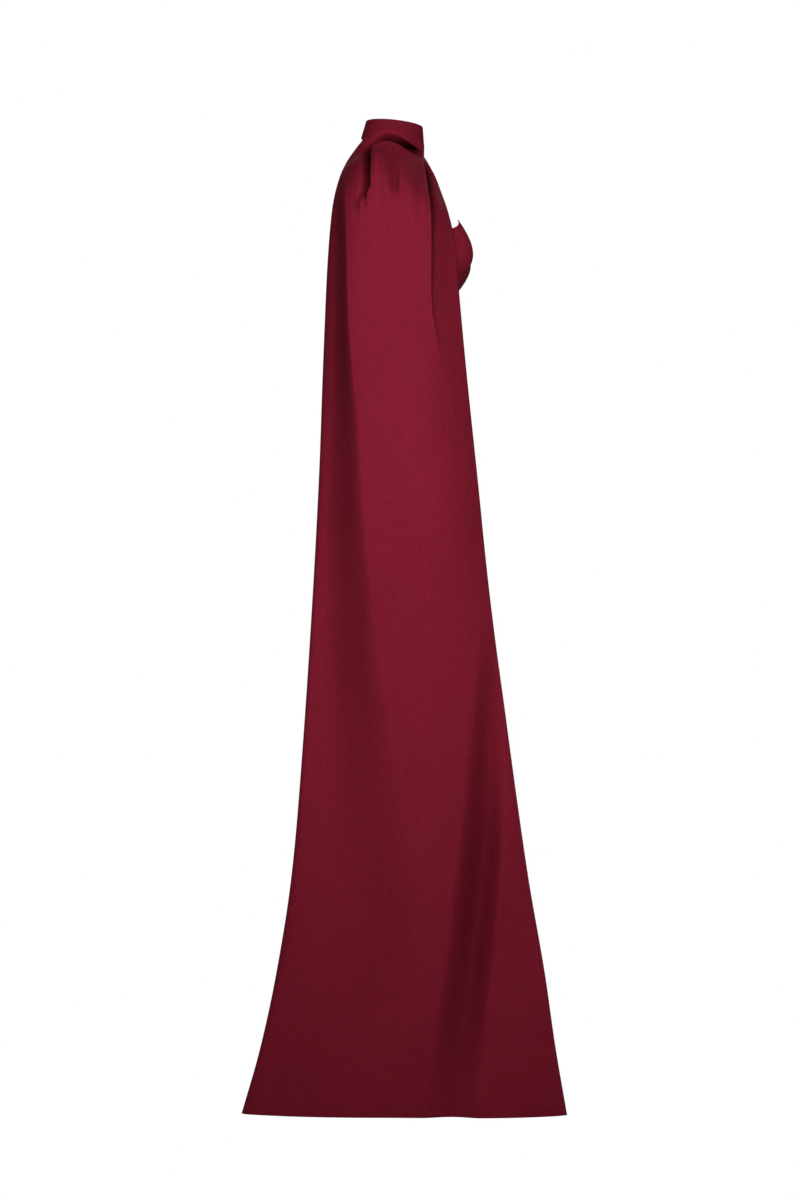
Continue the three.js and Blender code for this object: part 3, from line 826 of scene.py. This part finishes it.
def crepe_grain_group():
    """Pebbled grain with fine streaks that lean across the cloth, and soft patches over it."""
    name = "Crepe grain"
    if name in bpy.data.node_groups:
        return bpy.data.node_groups[name]
    group, given, result = new_group(
        name,
        [("Grain size", "NodeSocketFloat", 0.001), ("Mottling size", "NodeSocketFloat", 0.006)],
        [("Height", "NodeSocketFloat"), ("Patches", "NodeSocketFloat")],
    )
    coordinates = group.nodes.new("ShaderNodeTexCoord")

    def noise(size, stretch, lean=0, detail=1.0, roughness=0.5, distortion=0.0):
        mapping = group.nodes.new("ShaderNodeMapping")
        mapping.inputs["Rotation"].default_value = (lean, 0, 0)
        mapping.inputs["Scale"].default_value = stretch
        group.links.new(coordinates.outputs["Object"], mapping.inputs["Vector"])
        texture = group.nodes.new("ShaderNodeTexNoise")
        group.links.new(mapping.outputs["Vector"], texture.inputs["Vector"])
        group.links.new(math_node(group, "DIVIDE", 1.0, size), texture.inputs["Scale"])
        texture.inputs["Detail"].default_value = detail
        texture.inputs["Roughness"].default_value = roughness
        texture.inputs["Distortion"].default_value = distortion
        return texture.outputs["Fac"]

    grain = given.outputs["Grain size"]
    mottling = given.outputs["Mottling size"]
    wide_size = math_node(group, "MULTIPLY", mottling, WIDE_PATCHES)
    pebbles = noise(grain, (1, 1, 0.75), detail=2.0, roughness=0.55, distortion=0.4)
    streaks = noise(grain, (1, 1.5, 0.3), STREAK_LEAN)
    patches = noise(mottling, (1, 1, 0.6), STREAK_LEAN, detail=3.0, roughness=0.62)
    wide = noise(wide_size, (1, 1, 0.5))
    for label, first, first_share, second, second_share in (
        ("Height", pebbles, 0.6, streaks, 0.4),
        ("Patches", patches, 0.7, wide, 0.3),
    ):
        first_part = math_node(group, "MULTIPLY", first, first_share)
        second_part = math_node(group, "MULTIPLY", second, second_share)
        group.links.new(math_node(group, "ADD", first_part, second_part), result.inputs[label])
    return group


def dyed_cloth_and_painted_shade_group():
    """The cloth's dye, whose shade and roughness vary with its grain, darkened as painted shade in its creases
    and lightened as painted highlight on the ridges.
    """
    name = "Dyed cloth"
    if name in bpy.data.node_groups:
        return bpy.data.node_groups[name]
    group, given, result = new_group(
        name,
        [
            ("Colour", "NodeSocketColor", (0.2, 0.01, 0.03, 1)),
            ("Height", "NodeSocketFloat", 0.5),
            ("Patches", "NodeSocketFloat", 0.5),
            ("Depth of shade", "NodeSocketFloat", 0.6),
            ("Middle roughness", "NodeSocketFloat", 0.76),
            ("Crease", "NodeSocketFloat", 0.0),
            ("Crease shade", "NodeSocketFloat", 0.9),
        ],
        [("Colour", "NodeSocketColor"), ("Roughness", "NodeSocketFloat")],
    )
    both = math_node(group, "ADD", given.outputs["Height"], given.outputs["Patches"])
    off_middle = math_node(group, "SUBTRACT", both, 1.0)
    varied = math_node(group, "MULTIPLY", off_middle, given.outputs["Depth of shade"])
    # Painted shade: the crease mask darkens the colour, and lightens it as painted highlight where it is below
    # 0.
    creased = math_node(group, "MULTIPLY", given.outputs["Crease"], given.outputs["Crease shade"])
    lit = math_node(group, "SUBTRACT", 1.0, creased)
    shade = math_node(group, "MULTIPLY", math_node(group, "ADD", varied, 1.0), lit)
    scale = group.nodes.new("ShaderNodeVectorMath")
    scale.operation = "SCALE"
    group.links.new(given.outputs["Colour"], scale.inputs[0])
    group.links.new(shade, scale.inputs["Scale"])
    group.links.new(scale.outputs["Vector"], result.inputs["Colour"])
    off_middle = math_node(group, "SUBTRACT", given.outputs["Patches"], 0.5)
    rougher = math_node(group, "MULTIPLY", off_middle, PATCH_ROUGHNESS)
    rough = math_node(group, "ADD", given.outputs["Middle roughness"], rougher, clamp=True)
    group.links.new(rough, result.inputs["Roughness"])
    return group


def cloth_material(name, cloth):
    """One finish of the crepe, with its dye, grain and gleam, and the painted shade and highlight of its mask.
    """
    if name in bpy.data.materials:
        return bpy.data.materials[name]
    finish = FINISHES[name]
    # A share below 1 darkens the whole colour as painted shade, as on the neckband.
    colour = (*(part * finish["share_after_shade"] for part in cloth.colour), 1)
    material = bpy.data.materials.new(name)
    material.use_nodes = True
    material.diffuse_color = colour
    tree = material.node_tree
    shader = tree.nodes["Principled BSDF"]
    grain = tree.nodes.new("ShaderNodeGroup")
    grain.node_tree = crepe_grain_group()
    grain.inputs["Grain size"].default_value = cloth.grain
    grain.inputs["Mottling size"].default_value = cloth.mottle
    colour_and_shade = tree.nodes.new("ShaderNodeGroup")
    colour_and_shade.node_tree = dyed_cloth_and_painted_shade_group()
    colour_and_shade.inputs["Colour"].default_value = colour
    colour_and_shade.inputs["Depth of shade"].default_value = finish["shade"]
    colour_and_shade.inputs["Middle roughness"].default_value = finish["roughness"]
    # The attribute holds the painted shade of the creases and folds and the painted highlight of the ridges.
    crease = tree.nodes.new("ShaderNodeAttribute")
    crease.attribute_name = PAINTED_SHADE_ATTRIBUTE
    bumped = tree.nodes.new("ShaderNodeBump")
    bumped.inputs["Strength"].default_value = finish["bump"]
    bumped.inputs["Distance"].default_value = BUMP_DISTANCE
    for output, target in (
        (crease.outputs["Fac"], colour_and_shade.inputs["Crease"]),
        (grain.outputs["Height"], colour_and_shade.inputs["Height"]),
        (grain.outputs["Patches"], colour_and_shade.inputs["Patches"]),
        (colour_and_shade.outputs["Colour"], shader.inputs["Base Color"]),
        (colour_and_shade.outputs["Roughness"], shader.inputs["Roughness"]),
        (grain.outputs["Height"], bumped.inputs["Height"]),
        (bumped.outputs["Normal"], shader.inputs["Normal"]),
    ):
        tree.links.new(output, target)
    shader.inputs["Specular IOR Level"].default_value = finish["gleam"]
    shader.inputs["Specular Tint"].default_value = (*cloth.gleam_colour, 1)
    return material


def edges_close(count):
    """Shares from 0 to 1 that lie closer together at both ends."""
    t = np.linspace(0, 1, count + 1)
    return t - EDGE_CROWDING * np.sin(2 * math.pi * t) / (2 * math.pi)


def lengths_along(points, axis):
    """The length up to each point of a grid, along its rows or its columns."""
    steps = np.linalg.norm(np.diff(points, axis=axis), axis=-1)
    return np.insert(np.cumsum(steps, axis), 0, 0, axis)


def seam_dip(points, thickness):
    """Draws a panel's edges in by the turn of its seams, with slight puckers along them."""
    normals = outward(points)
    u, v = lengths_along(points, 1), lengths_along(points, 0)
    from_sides = np.minimum(u, u[:, -1:] - u)
    near = np.exp(-((from_sides / SEAM["reach"]) ** 2))
    uneven = v / SEAM["pucker_length"] + 2 * np.sin(v / SEAM["drift_length"])
    puckers = SEAM["pucker_height"] * np.sin(uneven) * near
    return points - normals * (near * thickness * SEAM["dip"] + puckers)[..., None]


# The seams, as angles, between which each panel of the dress lies.
PANELS = {
    "bodice_front": (lambda v: -princess(v), princess),
    "bodice_side_right": (princess, lambda v: SIDE_SEAM),
    "bodice_side_left": (lambda v: -SIDE_SEAM, lambda v: -princess(v)),
    "bodice_back_right": (lambda v: SIDE_SEAM, lambda v: BACK_SEAM),
    "bodice_back_left": (lambda v: -BACK_SEAM, lambda v: -SIDE_SEAM),
    "skirt_front": (lambda v: -SIDE_SEAM, lambda v: SIDE_SEAM),
    "skirt_back_right": (lambda v: SIDE_SEAM, lambda v: BACK_SEAM),
    "skirt_back_left": (lambda v: -BACK_SEAM, lambda v: -SIDE_SEAM),
}


def seam_inset(angle, at):
    """The angle that keeps a panel half a gap from a seam, which is more for the boxy turns of a section."""
    half = SEAM_GAP / 2
    turn = at["square"] / 2
    at_side = np.where(np.abs(np.cos(angle)) < AT_AXIS, (half / at["back"]) ** turn, half / at["side"])
    return np.where(np.abs(np.sin(angle)) < AT_AXIS, (half / at["side"]) ** turn, at_side)


def dress_panel(name, cells, top, bottom, cloth):
    """One panel of the dress between its two seams, from a top edge to a bottom edge given as drops."""
    u = edges_close(cells[0])[None, :]
    v = edges_close(cells[1])[:, None]
    at = figure_at(mix(EDGE["back"], bottom, v))
    left, right = (seam(v) for seam in PANELS[name])
    angle = mix(left + seam_inset(left, at), right - seam_inset(right, at), u)
    points = dress(angle, mix(top(angle), bottom, v) + 0 * angle)
    points = seam_dip(points, cloth.thickness)
    piece = cloth_shell(f"{name}_piece", points, cloth.thickness, cloth_material("crimson crepe", cloth))
    finish_piece(piece, name)


class GOWN_OT_neckband(bpy.types.Operator):
    """Build the interfaced neckband, which closes at the nape"""

    bl_idname = "gown.neckband"
    bl_label = "Neckband"

    def execute(self, context):
        cloth = context.scene.gown_cloth
        end = BACK_SEAM - BAND_SLIT / 2 / BAND_BOTTOM["side"]
        u = np.linspace(-end, end, BAND_CELLS[0] + 1)[None, :]
        v = edges_close(BAND_CELLS[1])[:, None]
        points = band(u + 0 * v, v + 0 * u)
        # The neckband's crepe is darkened as painted shade.
        material = cloth_material("interfaced crepe", cloth)
        piece = cloth_shell("neckband_piece", points, cloth.band_thickness, material)
        finish_piece(piece, "neckband")
        return {"FINISHED"}


class GOWN_OT_cape(bpy.types.Operator):
    """Build the cape with its roll, shoulder crease, darts and hanging folds"""

    bl_idname = "gown.cape"
    bl_label = "Cape"

    def execute(self, context):
        cloth = context.scene.gown_cloth
        down = spread(CAPE_ROW_STOPS)[:, None]
        strips = strips_at(down[:, 0])
        stops = [np.zeros(len(down)), *(strips[name] for name in STRIP_COLUMNS[1:]), np.ones(len(down))]
        parts = [
            mix(a[:, None], b[:, None], np.linspace(0, 1, cells, endpoint=False)[None, :])
            for a, b, cells in zip(stops, stops[1:], STRIP_CELLS)
        ]
        across = np.concatenate([*parts, np.ones((len(down), 1))], axis=1)
        # inside: the painted shade of the cape, and its painted highlight on the ridges.
        points, inside = cape(across, down + 0 * across, context.scene.gown_cape)
        material = cloth_material("crimson crepe", cloth)
        piece = cloth_shell("cape_piece", points, cloth.thickness, material, inside)
        finish_piece(piece, "cape")
        return {"FINISHED"}


class GOWN_OT_bodice(bpy.types.Operator):
    """Build the five bodice panels with their pointed cups and seams"""

    bl_idname = "gown.bodice"
    bl_label = "Bodice"

    def execute(self, context):
        cloth = context.scene.gown_cloth
        for name in PANELS:
            if name.startswith("bodice"):
                dress_panel(name, BODICE_CELLS, top_edge, WAIST - SEAM_GAP / 2, cloth)
        return {"FINISHED"}


class GOWN_OT_skirt(bpy.types.Operator):
    """Build the skirt front and the two skirt backs with their flutes"""

    bl_idname = "gown.skirt"
    bl_label = "Skirt"

    def execute(self, context):
        cloth = context.scene.gown_cloth
        for name, cells in SKIRT_CELLS.items():
            dress_panel(name, cells, lambda angle: WAIST + SEAM_GAP / 2 + 0 * angle, DRESS_HEM, cloth)
        return {"FINISHED"}


def softbox(name, power):
    """One of the stage's square lights, aimed at the gown."""
    box = SOFTBOXES[name]
    light = bpy.data.lights.new(f"{name} softbox", "AREA")
    light.size = box["size"]
    light.spread = math.radians(box["spread"])
    light.energy = power
    lamp = bpy.data.objects.new(light.name, light)
    lamp.location = box["place"]
    lamp.rotation_euler = (Vector(box["aim"]) - Vector(box["place"])).to_track_quat("-Z", "Y").to_euler()
    bpy.context.scene.collection.objects.link(lamp)


def seen_white(tree, shade, kind):
    """White of a kind of shader for the camera alone, in front of the shade or light that the gown gets."""
    path = tree.nodes.new("ShaderNodeLightPath")
    white = tree.nodes.new(kind)
    white.inputs["Color"].default_value = (1, 1, 1, 1)
    both = tree.nodes.new("ShaderNodeMixShader")
    tree.links.new(path.outputs["Is Camera Ray"], both.inputs["Fac"])
    tree.links.new(shade, both.inputs[1])
    tree.links.new(white.outputs[0], both.inputs[2])
    return both.outputs[0]


class GOWN_OT_stage(bpy.types.Operator):
    """Lay the pale floor and set the room light, the softboxes and the camera"""

    bl_idname = "gown.stage"
    bl_label = "Stage"

    def execute(self, context):
        scene = context.scene
        stage = scene.gown_stage
        world = bpy.data.worlds.new("Room")
        world.use_nodes = True
        scene.world = world
        background = world.node_tree.nodes["Background"]
        background.inputs["Color"].default_value = (1, 1, 1, 1)
        background.inputs["Strength"].default_value = stage.room
        seen = seen_white(world.node_tree, background.outputs[0], "ShaderNodeBackground")
        world.node_tree.links.new(seen, world.node_tree.nodes["World Output"].inputs["Surface"])

        mesh = bpy.data.meshes.new("floor")
        steps = np.arange(FLOOR["sides"]) * 2 * math.pi / FLOOR["sides"]
        ring = np.stack([np.cos(steps), np.sin(steps), 0 * steps], -1) * stage.floor_size
        mesh.from_pydata(ring.tolist(), [], [list(range(FLOOR["sides"]))])
        floor = bpy.data.objects.new("floor", mesh)
        floor.location = (0, 0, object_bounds()[0].z - FLOOR["below"])
        scene.collection.objects.link(floor)
        material = bpy.data.materials.new("pale floor")
        material.use_nodes = True
        shader = material.node_tree.nodes["Principled BSDF"]
        shader.inputs["Base Color"].default_value = (*[FLOOR["grey"]] * 3, 1)
        shader.inputs["Roughness"].default_value = FLOOR["roughness"]
        seen = seen_white(material.node_tree, shader.outputs[0], "ShaderNodeEmission")
        material.node_tree.links.new(seen, material.node_tree.nodes["Material Output"].inputs["Surface"])
        mesh.materials.append(material)
        floor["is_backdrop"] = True

        for name in SOFTBOXES:
            softbox(name, getattr(stage, f"{name}_power"))

        camera = bpy.data.cameras.new("camera")
        camera.lens = CAMERA_LENS
        camera.sensor_width = 36
        camera.clip_end = 100
        eye = bpy.data.objects.new("camera", camera)
        eye.location = CAMERA_PLACE
        eye.rotation_euler = (math.pi / 2, 0, -math.pi / 2)
        scene.collection.objects.link(eye)
        scene.camera = eye
        scene.view_settings.view_transform = "Standard"
        return {"FINISHED"}


OPERATORS = (GOWN_OT_neckband, GOWN_OT_cape, GOWN_OT_bodice, GOWN_OT_skirt, GOWN_OT_stage)


class GOWN_PT_panel(bpy.types.Panel):
    """Shows the gown's cloth, cape and stage settings, and a button for each builder"""

    bl_label = "Evening gown"
    bl_idname = "GOWN_PT_panel"
    bl_space_type = "VIEW_3D"
    bl_region_type = "UI"
    bl_category = "Gown"

    def draw(self, context):
        for settings in (context.scene.gown_cloth, context.scene.gown_cape, context.scene.gown_stage):
            box = self.layout.box()
            for name in settings.bl_rna.properties.keys():
                if name not in ("rna_type", "name"):
                    box.prop(settings, name)
        for operator in OPERATORS:
            self.layout.operator(operator.bl_idname)


CLASSES = (GownCloth, GownCape, GownStage, *OPERATORS, GOWN_PT_panel)


def register():
    for cls in CLASSES:
        bpy.utils.register_class(cls)
    bpy.types.Scene.gown_cloth = bpy.props.PointerProperty(type=GownCloth)
    bpy.types.Scene.gown_cape = bpy.props.PointerProperty(type=GownCape)
    bpy.types.Scene.gown_stage = bpy.props.PointerProperty(type=GownStage)


def unregister():
    del bpy.types.Scene.gown_cloth, bpy.types.Scene.gown_cape, bpy.types.Scene.gown_stage
    for cls in reversed(CLASSES):
        bpy.utils.unregister_class(cls)


def main():
    register()
    bpy.ops.gown.neckband()
    bpy.ops.gown.cape()
    bpy.ops.gown.bodice()
    bpy.ops.gown.skirt()
    bpy.ops.gown.stage()


if __name__ == "__main__":
    main()
